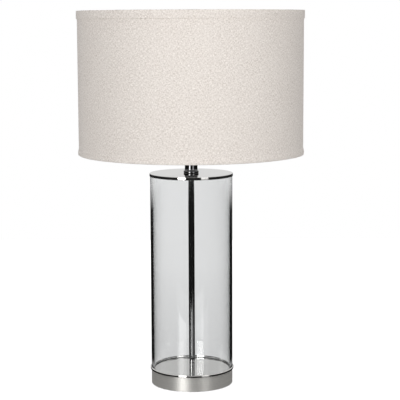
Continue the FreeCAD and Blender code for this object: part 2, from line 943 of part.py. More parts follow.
def make_binding(name, height, z):
    """The folded trim over one edge of the shade: a tall outer leg, the fold and a short inner leg."""
    outside = size.shade_radius
    fold_inside = outside - size.binding_thickness
    leg = size.binding_leg_height
    fold = size.binding_cap
    section = [
        (leg_inside, 0),
        (outside, 0),
        (outside, height),
        (fold_inside, height),
        (fold_inside, fold),
        (leg_outside, fold),
        (leg_outside, leg),
        (leg_inside, leg),
    ]
    binding = turned(name, section, z)
    round_edges(binding, size.binding_round, [(outside, 0)])
    return binding


def make_top_binding():
    """The upper binding, the same section turned over."""
    binding = make_binding("top_binding", size.top_binding_height, ZERO)
    binding.Placement = FreeCAD.Placement(Vector(), Rotation(Vector(1, 0, 0), 180))
    place(binding, z=shade_top)
    return binding


def make_bottom_binding():
    """The lower binding, whose inner leg is cut away where each spoke passes."""
    whole = make_binding("bottom_binding_ring", size.bottom_binding_height, shade_foot)
    slots = []
    depth = size.binding_lip * 3
    height = size.binding_leg_height
    for number, (across, along) in enumerate(around(SPOKE_COUNT), 1):
        slot = doc.addObject("Part::Box", f"bottom_binding_slot_{number}")
        heading = math.degrees(math.atan2(along, across))
        slot.Placement = FreeCAD.Placement(Vector(), Rotation(Vector(0, 0, 1), heading))
        bind(slot, "Length", depth)
        bind(slot, "Width", size.spoke_slot)
        bind(slot, "Height", height)
        start = leg_inside - size.binding_lip
        half = size.spoke_slot / 2
        place(
            slot,
            start * across + half * along,
            start * along - half * across,
            shade_foot + edge_inset,
        )
        slots.append(slot)
    return cut("bottom_binding", whole, slots)


def make_fitter_ring():
    """The flat ring that the clamp ring holds on the lampholder's flange."""
    inside = size.holder_radius + size.fitter_gap
    return ring("fitter_ring", inside, size.fitter_radius, size.fitter_thickness, fitter_foot)


def make_shade_spokes():
    """The straight wires welded between the lower hoop and the fitter ring."""
    hoop_radius = wire_circle - size.wire_radius - size.weld_gap
    hoop_level = shade_foot + wire_inset
    fitter_reach = size.fitter_radius + size.weld_gap
    fitter_level = fitter_foot + size.fitter_thickness / 2
    run = hoop_radius - fitter_reach
    rise = fitter_level - hoop_level
    length = (run * run + rise * rise).root()
    slope = Formula(f"atan({rise.text} / {run.text})", math.degrees(math.atan2(rise.value, run.value)))
    spokes = []
    for number, (across, along) in enumerate(around(SPOKE_COUNT), 1):
        tilt = Rotation(Vector(along, -across, 0), 90 - slope.value)
        spoke = cylinder(
            f"shade_spoke_{number}",
            size.wire_radius,
            length,
            hoop_radius * across,
            hoop_radius * along,
            hoop_level,
            turn=tilt,
        )
        bind(spoke, "Placement.Rotation.Angle", Formula(f"(90 deg - {slope.text})", 90 - slope.value))
        spokes.append(spoke)
    return joined("Compound", "shade_spokes", spokes)


pieces += make_shade_layers()
pieces += [make_wire_ring("top_wire_ring", shade_top - wire_inset)]
pieces += [make_wire_ring("bottom_wire_ring", shade_foot + wire_inset)]
pieces += [make_top_binding(), make_bottom_binding(), make_shade_spokes(), make_fitter_ring()]


# Bulb ---------------------------------------------------------------------------------------------

bulb_foot = insulator_top + size.contact_rise + size.contact_thickness + size.bulb_contact_gap
bulb_cap_foot = bulb_foot + size.bulb_contact_height
bulb_cap_top = bulb_cap_foot + size.bulb_cap_height
bulb_top = bulb_foot + size.bulb_length


def draw_bulb(sketch, neck, radius, top, foot, throat):
    """Half a bulb's outline: a neck, a flank that runs on into the globe, and the axis."""
    centre = top - radius
    flank = math.atan2((centre - throat).value, (radius - neck).value)
    tangent = Vector(radius.value * math.cos(flank / 3), centre.value - radius.value * math.sin(flank / 3), 0)
    spots = [(ZERO, foot), (neck, foot), (neck, throat)]
    corners = [Vector(x.value, y.value, 0) for x, y in spots]
    peak = Vector(0, top.value, 0)
    middle = Vector(0, centre.value, 0)
    globe = Part.Circle(middle, Vector(0, 0, 1), radius.value)
    start_angle = math.atan2(tangent.y - centre.value, tangent.x)
    chain = [
        Part.LineSegment(corners[0], corners[1]),
        Part.LineSegment(corners[1], corners[2]),
        Part.LineSegment(corners[2], tangent),
        Part.ArcOfCircle(globe, start_angle, math.pi / 2),
        Part.LineSegment(peak, corners[0]),
    ]
    sketch.addGeometry(chain, False)
    for line in (0, 1):
        sketch.addConstraint(Sketcher.Constraint("Coincident", line, 2, line + 1, 1))
    sketch.addConstraint(Sketcher.Constraint("Tangent", 2, 2, 3, 1))
    sketch.addConstraint(Sketcher.Constraint("Coincident", 3, 2, 4, 1))
    sketch.addConstraint(Sketcher.Constraint("Coincident", 4, 2, 0, 1))
    for line, (x, y) in enumerate(spots):
        pin_point(sketch, line, 1, x, y)
    pin_point(sketch, 4, 1, ZERO, top)
    sketch.addConstraint(Sketcher.Constraint("PointOnObject", 3, 3, -2))
    width = sketch.addConstraint(Sketcher.Constraint("Radius", 3, radius.value))
    bind(sketch, f"Constraints[{width}]", radius)


def make_bulb_envelope():
    """The pear-shaped glass, hollow, with its neck inside the cap."""
    body = doc.addObject("PartDesign::Body", "bulb_envelope")
    wall = size.envelope_wall
    neck_foot = size.bulb_cap_height / 2
    height = bulb_top - bulb_cap_foot
    outer = new_sketch(body, "bulb_envelope_outside")
    draw_bulb(outer, size.bulb_neck_radius, size.globe_radius, height, neck_foot, size.bulb_cap_height)
    revolve(body, outer)
    doc.recompute()
    full = body.Shape.Volume
    inner = new_sketch(body, "bulb_envelope_inside")
    draw_bulb(
        inner,
        size.bulb_neck_radius - wall,
        size.globe_radius - wall,
        height - wall,
        neck_foot + wall,
        size.bulb_cap_height,
    )
    revolve(body, inner, "Groove")
    place(body, z=bulb_cap_foot)
    doc.recompute()
    if body.Shape.Volume > full / 2:
        raise ValueError("bulb_envelope is not hollow")
    return body


def make_bulb_cap():
    """The bulb's screw cap, tapered at its foot towards the contact."""
    wall = size.bulb_cap_wall
    radius = size.bulb_cap_radius
    taper = size.bulb_cap_taper
    tip = size.bulb_contact_radius * 1.5
    section = [
        (0, 0),
        (tip, 0),
        (radius, taper),
        (radius, size.bulb_cap_height),
        (radius - wall, size.bulb_cap_height),
        (radius - wall, taper + wall),
        (tip, wall * 2),
        (0, wall * 2),
    ]
    return turned("bulb_cap", section, bulb_cap_foot)


def make_bulb_contact():
    """The soldered centre contact."""
    radius = size.bulb_contact_radius
    height = size.bulb_contact_height
    contact = turned("bulb_contact", [(0, 0), (radius, 0), (radius, height), (0, height)], bulb_foot)
    round_edges(contact, height / 3, [(radius, 0)])
    return contact


pieces += [make_bulb_envelope(), make_bulb_cap(), make_bulb_contact()]


# Check and write ----------------------------------------------------------------------------------

doc.recompute()
for thing in doc.Objects:
    if "Invalid" in thing.State or "Error" in thing.State:
        raise ValueError(f"{thing.Name}: {thing.State}")
for piece in pieces:
    if piece.Shape.isNull() or not piece.Shape.isValid() or not piece.Shape.Solids:
        raise ValueError(f"{piece.Label} has no valid solid")

os.makedirs("parts", exist_ok=True)
for piece in pieces:
    piece.Shape.exportStep(f"parts/{piece.Label}.step")
    box = piece.Shape.BoundBox
    print(
        f"{piece.Label:18s} solids {len(piece.Shape.Solids)}  z {box.ZMin:8.2f} {box.ZMax:8.2f}"
        f"  x {box.XMin:8.2f} {box.XMax:8.2f}  volume {piece.Shape.Volume:10.1f}"
    )
print(len(pieces), "pieces")
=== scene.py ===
# %% [markdown]
# A table lamp in Blender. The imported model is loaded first: it is the fixed frame, at real size, in metres.
# Everything below either gives one of its nodes a finish, or stands in for a node with a finer mesh.

import math

import bmesh
import bpy
from mathutils import Matrix, Vector


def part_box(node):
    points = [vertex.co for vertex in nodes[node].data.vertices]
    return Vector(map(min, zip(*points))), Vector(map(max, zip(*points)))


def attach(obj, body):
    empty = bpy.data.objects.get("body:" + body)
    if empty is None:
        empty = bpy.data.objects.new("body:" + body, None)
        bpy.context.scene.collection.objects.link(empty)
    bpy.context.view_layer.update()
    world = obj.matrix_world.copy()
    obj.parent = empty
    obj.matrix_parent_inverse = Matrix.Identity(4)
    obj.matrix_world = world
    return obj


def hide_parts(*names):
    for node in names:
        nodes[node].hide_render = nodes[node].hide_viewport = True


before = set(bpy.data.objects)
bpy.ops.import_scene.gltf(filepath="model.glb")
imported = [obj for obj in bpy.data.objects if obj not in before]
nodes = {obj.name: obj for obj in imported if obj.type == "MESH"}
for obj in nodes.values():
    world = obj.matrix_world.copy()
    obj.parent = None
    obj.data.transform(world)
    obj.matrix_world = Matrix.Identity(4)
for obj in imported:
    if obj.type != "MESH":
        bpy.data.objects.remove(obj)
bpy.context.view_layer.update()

# %% [markdown]
# The camera comes first, because every comparison with the photograph depends on it. A long lens far away
# keeps the drum shade's edges nearly parallel. The place, tilt and lens come from matching the ellipses of
# the shade, the glass and the base with their real sizes. The tiny roll is the photographer's, and is kept.

# %% Camera
MM = 0.001
PHOTO_WIDTH = 400  # pixels
FOCAL_PIXELS = 1310.3
SENSOR = 36.0  # millimetres
CAMERA_PLACE = Vector((15.74, -2353.0, 654.0)) * MM
CAMERA_DOWN = 0.1336  # radians below the horizon
CAMERA_ROLL = -0.0038  # radians

camera = bpy.data.objects.new("camera", bpy.data.cameras.new("camera"))
camera.data.sensor_width = SENSOR
camera.data.lens = FOCAL_PIXELS / PHOTO_WIDTH * SENSOR
tilt = Matrix.Rotation(math.pi / 2 - CAMERA_DOWN, 4, "X") @ Matrix.Rotation(CAMERA_ROLL, 4, "Z")
camera.matrix_world = Matrix.Translation(CAMERA_PLACE) @ tilt
bpy.context.scene.collection.objects.link(camera)
bpy.context.scene.camera = camera
bpy.context.scene.view_settings.view_transform = "Standard"
print("lens", round(camera.data.lens, 1), "mm")

# %% [markdown]
# Shader maths reads best as arithmetic. A Wire is one output in a node tree, and + - * on it add Math nodes.
# A Book is the tree itself. It has one way of adding any node, and a few short names for the usual ones, so
# a finish is written as a short recipe and not as a page of links.

# %% Shader helpers


class Wire:
    """An output socket that can be used in arithmetic."""

    def __init__(self, book, socket):
        self.book = book
        self.socket = socket

    def __add__(self, other):
        return self.book.math("ADD", self, other)

    def __rsub__(self, other):
        return self.book.math("SUBTRACT", other, self)

    def __mul__(self, other):
        return self.book.math("MULTIPLY", self, other)

    __radd__ = __add__
    __rmul__ = __mul__


class Book:
    """A node tree with one way of adding nodes."""

    def __init__(self, tree):
        self.tree = tree
        tree.nodes.clear()

    def add(self, kind, inputs=None, **settings):
        """Add a node: its settings first, then values or links for its sockets."""
        node = self.tree.nodes.new(kind)
        for name, value in settings.items():
            setattr(node, name, value)
        for name, value in (inputs or {}).items():
            if isinstance(value, Wire):
                self.tree.links.new(value.socket, node.inputs[name])
            else:
                node.inputs[name].default_value = value
        return node

    def wire(self, kind, inputs=None, output=0, **settings):
        """Add a node and return one of its outputs."""
        return Wire(self, self.add(kind, inputs, **settings).outputs[output])

    def math(self, operation, *values):
        return self.wire("ShaderNodeMath", dict(enumerate(values)), operation=operation)

    def mix(self, factor, first, second):
        """Blend two colours."""
        inputs = {"Factor": factor, 6: first, 7: second}
        return self.wire("ShaderNodeMix", inputs, output=2, data_type="RGBA")

    def fit(self, value, low, high, to_low=0.0, to_high=1.0):
        """Stretch a value's range, held at both ends."""
        inputs = {"Value": value, "From Min": low, "From Max": high, "To Min": to_low, "To Max": to_high}
        return self.wire("ShaderNodeMapRange", inputs)

    def place(self, scale, source="Object"):
        """Coordinates on the piece, in metres, times a scale for each axis."""
        corner = self.wire("ShaderNodeTexCoord", output=source)
        return self.wire("ShaderNodeMapping", {"Vector": corner, "Scale": scale})

    def grain(self, scale, source="Object", detail=4.0, roughness=0.5):
        """Noise, stretched by a scale for each axis: its value from 0 to 1."""
        inputs = {"Vector": self.place(scale, source), "Scale": 1.0, "Detail": detail, "Roughness": roughness}
        return self.wire("ShaderNodeTexNoise", inputs)

    def bump(self, height, distance, strength=1.0):
        """A normal from a height in 0 to 1, which stands for distance in metres."""
        return self.wire("ShaderNodeBump", {"Height": height, "Distance": distance, "Strength": strength})


def finish(name, surface, recipe=None, volume=None):
    """A material: constant values for its surface, and a recipe for what varies over it."""
    material = bpy.data.materials.new(name)
    material.use_nodes = True
    book = Book(material.node_tree)
    inputs = dict(surface)
    if recipe:
        inputs.update(recipe(book))
    principled = book.wire("ShaderNodeBsdfPrincipled", inputs)
    output = {"Surface": principled}
    if volume:
        output["Volume"] = book.wire("ShaderNodeVolumeAbsorption", volume)
    book.add("ShaderNodeOutputMaterial", output)
    return material


# %% [markdown]
# The studio. The photograph looks cleaned up, so the surround answers each kind of ray in its own way. Seen
# straight, all round is white. Clear glass shows that white a little greyer. Polished metal shows the pale
# sweep only where it looks up, and a dark room where it looks down, which gives it its black lines. Light
# that bounced inside the glass wall counts as a mirror too, so the tube has a dark outline from every side.

# %% Surroundings
SEEN_THROUGH = 0.97  # the sweep through clear glass
SWEEP_IN_METAL = 0.78  # the sweep in a metal that looks up
DARK_ROOM = 0.02  # what a metal shows where it looks down, and after a second bounce
AMBIENT = 0.34  # what falls on matt surfaces from all round
UPWARD = (-0.02, 0.06)  # the rise of a ray over which the room turns into the sweep
TABLE_END = (-0.142, -0.122)  # the fall of a ray that passes just over the table's far edge

world = bpy.data.worlds.new("studio")
bpy.context.scene.world = world
world.use_nodes = True
book = Book(world.node_tree)


def ray_kinds(book):
    """Masks for a ray: straight, through glass, through glass alone, off a mirror, off one at most."""
    ray = book.add("ShaderNodeLightPath").outputs
    seen = Wire(book, ray["Is Camera Ray"])
    through = Wire(book, ray["Is Transmission Ray"]) * (1 - seen)
    bounced = book.math("MAXIMUM", Wire(book, ray["Is Glossy Ray"]), through)
    depth = Wire(book, ray["Glossy Depth"])
    clear = through * book.math("LESS_THAN", depth, 0.5)
    mirrored = bounced * (1 - clear) * (1 - seen)
    once = book.math("LESS_THAN", depth, 1.5)
    return seen, through, clear, mirrored, once


seen, through, clear, mirrored, once = ray_kinds(book)
direction = book.wire("ShaderNodeTexCoord", output="Generated")
height = book.wire("ShaderNodeSeparateXYZ", {0: direction}, output="Z")
backwards = book.wire("ShaderNodeSeparateXYZ", {0: direction}, output="Y")
in_metal = DARK_ROOM + book.fit(height, *UPWARD) * once * (SWEEP_IN_METAL - DARK_ROOM)
far_edge = book.fit(height, *TABLE_END) * book.math("GREATER_THAN", backwards, 0.0)
in_wall = book.math("MAXIMUM", in_metal, far_edge * through * SWEEP_IN_METAL)
sideways = book.wire("ShaderNodeSeparateXYZ", {0: direction}, output="X")
falloff = book.fit(sideways, -0.06, 0.06, 1.04, 0.96)
matt_rays = (1 - seen) * (1 - clear) * (1 - mirrored)
level = seen + clear * falloff * SEEN_THROUGH + mirrored * in_wall + matt_rays * AMBIENT
background = book.wire("ShaderNodeBackground", {"Color": (1, 1, 1, 1), "Strength": level})
book.add("ShaderNodeOutputWorld", {"Surface": background})

# %% [markdown]
# Two tall softboxes stand in front, left and right of the camera: a cylinder shows each as one upright
# streak, and the polished tray and table double it. Three fills, two in front and one behind, light the matt
# surfaces from further round. They show in no mirror.

# %% Softboxes
SOFTBOX_DISTANCE = 2.2  # metres from the lamp's axis
SOFTBOX_FOOT = 0.13  # metres above the table
FILL_FOOT = 0.3
SOFTBOX_TOP = 1.7


def make_softbox(name, azimuth, power, width, foot, in_mirrors=True):
    """A tall soft lamp that faces the axis; azimuth is in degrees from the camera's side, to the right."""
    lamp = bpy.data.lights.new(name, "AREA")
    lamp.shape = "RECTANGLE"
    lamp.size = width
    lamp.size_y = SOFTBOX_TOP - foot
    lamp.energy = power
    box = bpy.data.objects.new(name, lamp)
    turn = math.radians(azimuth)
    middle = (SOFTBOX_TOP + foot) / 2
    reach = Vector((math.sin(turn), -math.cos(turn), 0)) * SOFTBOX_DISTANCE
    place = Matrix.Translation(reach + Vector((0, 0, middle)))
    upright = Matrix.Rotation(turn, 4, "Z") @ Matrix.Rotation(math.pi / 2, 4, "X")
    box.matrix_world = place @ upright
    box.visible_camera = False
    box.visible_glossy = in_mirrors
    box.visible_transmission = in_mirrors
    bpy.context.scene.collection.objects.link(box)


make_softbox("softbox_left", -25.6, 23.0, 0.8, SOFTBOX_FOOT)
make_softbox("softbox_right", 37.0, 6.0, 0.8, SOFTBOX_FOOT)
make_softbox("fill_left", -44.0, 3.5, 0.8, FILL_FOOT, in_mirrors=False)
make_softbox("fill_right", 41.0, 15.0, 0.8, FILL_FOOT, in_mirrors=False)
make_softbox("fill_back", 180.0, 14.0, 1.6, FILL_FOOT, in_mirrors=False)
print("softboxes:", [lamp.name for lamp in bpy.data.lights])

# %% [markdown]
# The table is matt and pale to the camera and keeps the lamp's contact shadow. Mirrors see it dark and
# polished, so that it doubles the softboxes: that carries their streaks down to the foot of the lamp. The
# glass wall shows it paler close to the lamp, and the tube shows a pale wedge of it in front.

# %% Table
FLOOR_LIFT = 0.68  # what the table adds for the camera, so that only contact shadows show
FLOOR_FRONT = 0.6  # metres from the axis to the table's near edge
FLOOR_BACK = 1.6
FLOOR_HALF_WIDTH = 3.0
FLOOR_GAP = 0.2 * MM  # below the felt, so that the two faces never coincide
FRONT_WEDGE = 0.8  # half width over distance of the pale wedge of table that the tube shows
WEDGE_PALENESS = 0.7
NEAR_FOOT = 0.17  # within this distance from the axis, the glass wall shows the table pale
FOOT_PALENESS = 0.55
EDGE_BLEND = 0.04  # metres over which the pale foot ends

floor_mesh = bpy.data.meshes.new("floor")
bm = bmesh.new()
bmesh.ops.create_grid(bm, x_segments=1, y_segments=1, size=FLOOR_HALF_WIDTH)
for vert in bm.verts:
    vert.co.y = FLOOR_BACK if vert.co.y > 0 else -FLOOR_FRONT
bm.to_mesh(floor_mesh)
bm.free()
floor = bpy.data.objects.new("floor", floor_mesh)
floor.location.z = -FLOOR_GAP
bpy.context.scene.collection.objects.link(floor)
floor_material = bpy.data.materials.new("floor")
floor_material.use_nodes = True
book = Book(floor_material.node_tree)
seen, through, _, mirrored, _ = ray_kinds(book)
pale = book.wire("ShaderNodeBsdfDiffuse", {"Color": (0.80, 0.80, 0.80, 1)})
lift = book.wire("ShaderNodeEmission", {"Color": (1, 1, 1, 1), "Strength": seen * FLOOR_LIFT})
matt = book.wire("ShaderNodeAddShader", {0: pale, 1: lift})
spot = book.wire("ShaderNodeTexCoord", output="Object")
from_axis = book.wire("ShaderNodeVectorMath", {0: spot}, output="Value", operation="LENGTH")
across = book.wire("ShaderNodeSeparateXYZ", {0: spot}, output="X")
behind = book.wire("ShaderNodeSeparateXYZ", {0: spot}, output="Y")
falloff = book.fit(behind, 0.15, 1.2, 0.84, 1.0) * book.fit(across, -0.2, 0.2, 1.03, 0.95)
sweep = book.wire("ShaderNodeEmission", {"Color": (1, 1, 1, 1), "Strength": falloff * SEEN_THROUGH})
gloss = book.wire("ShaderNodeBsdfGlossy", {"Color": (0.38, 0.38, 0.38, 1), "Roughness": 0.08})
near = 1 - book.fit(from_axis, NEAR_FOOT, NEAR_FOOT + EDGE_BLEND)
beside = book.math("ABSOLUTE", across, 0.0)
in_front = book.fit(beside + behind * FRONT_WEDGE, -0.10, 0.0, 1.0, 0.0)
paler = through * book.math("MAXIMUM", near * FOOT_PALENESS, in_front * WEDGE_PALENESS)
through_glass = book.wire("ShaderNodeMixShader", {0: through, 1: matt, 2: sweep})
shown = book.wire("ShaderNodeMixShader", {0: mirrored * (1 - paler), 1: through_glass, 2: gloss})
book.add("ShaderNodeOutputMaterial", {"Surface": shown})
floor_mesh.materials.append(floor_material)
print("the table reaches from", -FLOOR_FRONT, "to", FLOOR_BACK, "m")

# %% [markdown]
# Most of this lamp is turned on a lathe, so most of its pieces are a half section spun round the axis. The
# helper takes the section as (radius, height) corners, some with the rounding that the real edge has. The
# spin makes the body, a bevel rounds those edges, and the normals are worked out again at the end. Weighted
# normals keep the bevels from tilting the shading along the long faces.

# %% Mesh helpers
STEPS = 192  # round a turned piece, where its call gives no other number
SHARP = math.radians(40)
MERGE = 1e-6  # metres
ROUNDING_SEGMENTS = 5


def add_piece(name, bm, body, material, replaced=()):
    """Turn a bmesh into a piece that rides on a body, stands for CAD nodes and has one material."""
    bmesh.ops.remove_doubles(bm, verts=bm.verts, dist=MERGE)
    bmesh.ops.recalc_face_normals(bm, faces=bm.faces)
    for face in bm.faces:
        face.smooth = True
    mesh = bpy.data.meshes.new(name)
    bm.to_mesh(mesh)
    bm.free()
    mesh.set_sharp_from_angle(angle=SHARP)
    mesh.materials.append(material)
    piece = bpy.data.objects.new(name, mesh)
    bpy.context.scene.collection.objects.link(piece)
    even = piece.modifiers.new("even_shading", "WEIGHTED_NORMAL")
    even.keep_sharp = True
    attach(piece, body)
    if replaced:
        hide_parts(*replaced)
    print(f"{name}: {len(mesh.polygons)} faces")
    return piece


def spin_section(bm, corners, steps=STEPS):
    """Spin a closed half section of (radius, height[, rounding]) corners round the Z axis."""
    verts = [bm.verts.new((corner[0], 0.0, corner[1])) for corner in corners]
    edges = [bm.edges.new(pair) for pair in zip(verts, verts[1:] + verts[:1])]
    bmesh.ops.spin(
        bm,
        geom=verts + edges,
        cent=(0, 0, 0),
        axis=(0, 0, 1),
        angle=math.tau,
        steps=steps,
        use_merge=True,
    )
    bmesh.ops.remove_doubles(bm, verts=bm.verts, dist=MERGE)
    for corner in corners:
        if len(corner) == 3:
            round_ring(bm, corner[0], corner[1], corner[2])


def round_ring(bm, radius, height, rounding):
    """Round the ring of edges at one radius and height."""

    def on_ring(vert):
        return abs(vert.co.z - height) < MERGE and abs(vert.co.xy.length - radius) < MERGE

    ring = [edge for edge in bm.edges if on_ring(edge.verts[0]) and on_ring(edge.verts[1])]
    bmesh.ops.bevel(
        bm,
        geom=ring,
        offset=rounding,
        offset_type="OFFSET",
        affect="EDGES",
        segments=ROUNDING_SEGMENTS,
        profile=0.5,
        material=-1,
    )


def spun(name, corners, body, material, replaced=(), steps=STEPS):
    """A turned piece from its half section."""
    bm = bmesh.new()
    spin_section(bm, corners, steps)
    return add_piece(name, bm, body, material, replaced)


def levels(node):
    """The lowest and highest height and the outer radius of a CAD node that is turned about the axis."""
    low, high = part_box(node)
    return low.z, high.z, high.x


# %% [markdown]
# Metal finishes. All are nickel, polished or brushed. Polished nickel is a bright, slightly warm mirror with
# hardly any roughness, broken by a faint cloud of handling marks. The brushed drum has fine lines that run
# round it: noise squeezed along Z and stretched round the drum gives them, as bump and as uneven roughness.

# %% Metals


def polished_recipe(book):
    cloud = book.grain((9, 9, 9), detail=3.0)
    wipe = book.grain((60, 60, 14), detail=5.0)
    return {"Roughness": book.fit(cloud * 0.6 + wipe * 0.4, 0.35, 0.7, 0.03, 0.085)}


def polished(name, colour):
    return finish(name, {"Base Color": (*colour, 1), "Metallic": 1.0}, polished_recipe)


def brushed_recipe(book):
    coarse = book.grain((5, 5, 900), detail=5.0, roughness=0.65)
    fine = book.grain((14, 14, 4200), detail=3.0, roughness=0.6)
    lines = coarse * 0.55 + fine * 0.45
    tone = book.fit(lines, 0.3, 0.7)
    return {
        "Base Color": book.mix(tone, (0.72, 0.705, 0.67, 1), (0.87, 0.855, 0.82, 1)),
        "Roughness": book.fit(lines, 0.3, 0.7, 0.50, 0.60),
        "Normal": book.bump(lines, 0.00005, 0.55),
    }


def zinc_recipe(book):
    patch = book.grain((160, 160, 160), detail=4.0)
    return {
        "Base Color": book.mix(patch, (0.46, 0.47, 0.47, 1), (0.62, 0.63, 0.64, 1)),
        "Roughness": book.fit(patch, 0.3, 0.7, 0.28, 0.45),
    }


def brass_recipe(book):
    patch = book.grain((220, 220, 220), detail=4.0)
    return {
        "Base Color": book.mix(patch, (0.70, 0.49, 0.19, 1), (0.83, 0.63, 0.30, 1)),
        "Roughness": book.fit(patch, 0.3, 0.7, 0.16, 0.3),
    }


def cast_recipe(book):
    lumps = book.grain((260, 260, 260), detail=6.0, roughness=0.7)
    return {
        "Base Color": book.mix(lumps, (0.05, 0.05, 0.052, 1), (0.12, 0.12, 0.12, 1)),
        "Normal": book.bump(lumps, 0.0005, 0.8),
    }


polished_nickel = polished("polished_nickel", (0.74, 0.73, 0.71))
# The tube is the same polished nickel as the lid, painted darker: painted shade for the dark that it mirrors
# inside the glass.
tube_nickel_painted_dark = polished("tube_nickel_painted_dark", (0.42, 0.42, 0.42))
dark_nickel = polished("dark_nickel", (0.20, 0.20, 0.205))
brushed_nickel = finish(
    "brushed_nickel", {"Metallic": 1.0, "Anisotropic": 0.85, "Anisotropic Rotation": 0.25}, brushed_recipe
)
zinc_steel = finish("zinc_steel", {"Metallic": 1.0}, zinc_recipe)
brass = finish("brass", {"Metallic": 1.0}, brass_recipe)
cast_iron = finish("cast_iron", {"Metallic": 0.3, "Roughness": 0.75}, cast_recipe)

# %% [markdown]
# Clear finishes. The cylinder is a thick soda glass tube. What makes it read as glass is its edge: there the
# light crosses the wall lengthwise, so a little absorption inside the glass darkens the rim and leaves the
# middle clear. That is a volume, not a colour on the surface. The seals under and over the glass are a
# smoked rubber, made near-black so that they also paint the dark double line at its foot: painted shade and
# mirrored dark, laid over the rubber's own smoky tint. The bulb is frosted, so it looks white.

# %% Glass


def clear_recipe(book):
    cloud = book.grain((12, 12, 12), detail=2.0)
    return {"Roughness": book.fit(cloud, 0.4, 0.8, 0.0, 0.012)}


def opal_recipe(book):
    mist = book.grain((40, 40, 40), detail=3.0)
    return {
        "Base Color": book.mix(mist, (0.86, 0.86, 0.84, 1), (0.93, 0.93, 0.91, 1)),
        "Roughness": book.fit(mist, 0.3, 0.7, 0.30, 0.40),
    }


clear_glass = finish(
    "clear_glass",
    {"Base Color": (0.975, 0.978, 0.98, 1), "Transmission Weight": 1.0, "IOR": 1.5},
    clear_recipe,
    volume={"Color": (0.30, 0.33, 0.33, 1), "Density": 14.0},
)
# Near-black seal: painted shade for the dark reflected line at the glass's foot, over the rubber's own smoky
# tint.
clear_seal = finish(
    "clear_seal",
    {"Base Color": (0.04, 0.04, 0.042, 1), "Transmission Weight": 0.6, "IOR": 1.41},
    lambda book: {"Roughness": book.fit(book.grain((300, 300, 300)), 0.3, 0.7, 0.2, 0.35)},
)
opal_glass = finish(
    "opal_glass", {"Coat Weight": 0.5, "Coat Roughness": 0.15, "Subsurface Weight": 0.15}, opal_recipe
)

# %% [markdown]
# Soft and moulded finishes. The shade is a natural linen in which thin and thick yarns cross. Its pattern
# follows the cloth, so it reads the UV map, whose units are metres of cloth. Each set of yarns is noise that
# is drawn out along the yarn and fine across it; sparse darker slubs lie on top, as flax has them.

# %% Cloth and moulded materials
THREAD = 0.0007  # metres from one thread to the next
YARN = 0.0010  # metres from one thick yarn to the next
YARN_LENGTH = 0.004  # metres over which a yarn keeps its thickness
SLUB_WIDTH = 0.0014  # metres
SLUB_LENGTH = 0.0045


def drawn_out(book, along_u, width, length, shift, detail, roughness):
    """Noise on the cloth, long along its yarns and narrow across them; shift moves it to another patch."""
    scale = (1 / length, 1 / width, 1) if along_u else (1 / width, 1 / length, 1)
    corner = book.wire("ShaderNodeTexCoord", output="UV")
    moved = book.wire("ShaderNodeMapping", {"Vector": corner, "Scale": scale, "Location": shift})
    inputs = {"Vector": moved, "Scale": 1.0, "Detail": detail, "Roughness": roughness}
    return book.wire("ShaderNodeTexNoise", inputs)


def yarns(book, along_u, patch):
    """One set of yarns: 0 in the furrows and 1 on the crests, with uneven thickness."""
    uneven = drawn_out(book, along_u, YARN, YARN_LENGTH, (patch, patch, patch), 3.0, 0.65)
    corner = book.wire("ShaderNodeTexCoord", output="UV")
    across = book.wire("ShaderNodeSeparateXYZ", {0: corner}, output="Y" if along_u else "X")
    thread = book.math("SINE", across * (math.tau / THREAD) + uneven * 5.0) * 0.5 + 0.5
    return uneven * 0.8 + thread * 0.2


def slubs(book, along_u, patch):
    """Sparse thick places in the yarns, as a mask."""
    spots = drawn_out(book, along_u, SLUB_WIDTH, SLUB_LENGTH, (patch, patch, 0), 2.0, 0.5)
    return book.fit(spots, 0.60, 0.74)


def linen_recipe(book):
    weft = yarns(book, True, 3.0)
    warp = yarns(book, False, 11.0)
    weave = weft * 0.5 + warp * 0.5
    thick = book.math("MAXIMUM", slubs(book, True, 5.0), slubs(book, False, 17.0) * 0.8)
    cloud = book.grain((22, 22, 1), "UV", detail=3.0)
    cloth = book.mix(book.fit(weave, 0.42, 0.58), (0.48, 0.425, 0.38, 1), (0.94, 0.89, 0.845, 1))
    shaded = book.mix(book.fit(cloud, 0.3, 0.7) * 0.25, cloth, (0.78, 0.735, 0.69, 1))
    flecked = book.mix(thick * 0.6, shaded, (0.40, 0.33, 0.27, 1))
    return {
        "Base Color": flecked,
        "Roughness": book.fit(weave, 0.3, 0.7, 0.95, 0.8),
        "Normal": book.bump(weave + thick * 0.6, 0.00035, 0.6),
    }


def lining_recipe(book):
    pulp = book.grain((500, 500, 500), detail=3.0)
    return {
        "Base Color": book.mix(pulp, (0.83, 0.825, 0.81, 1), (0.88, 0.875, 0.865, 1)),
        "Normal": book.bump(pulp, 0.00005, 0.4),
    }


def felt_recipe(book):
    fibres = book.grain((1500, 1500, 1500), detail=5.0, roughness=0.7)
    return {
        "Base Color": book.mix(fibres, (0.018, 0.018, 0.019, 1), (0.065, 0.064, 0.064, 1)),
        "Normal": book.bump(fibres, 0.0006, 0.9),
    }


def moulded(name, dark, light, low, high, coat=0.0):
    """A moulded or painted finish with a faint grain."""

    def recipe(book):
        speckle = book.grain((700, 700, 700), detail=3.0)
        return {
            "Base Color": book.mix(speckle, (*dark, 1), (*light, 1)),
            "Roughness": book.fit(speckle, 0.3, 0.7, low, high),
            "Normal": book.bump(speckle, 0.00003, 0.3),
        }

    return finish(name, {"Coat Weight": coat}, recipe)


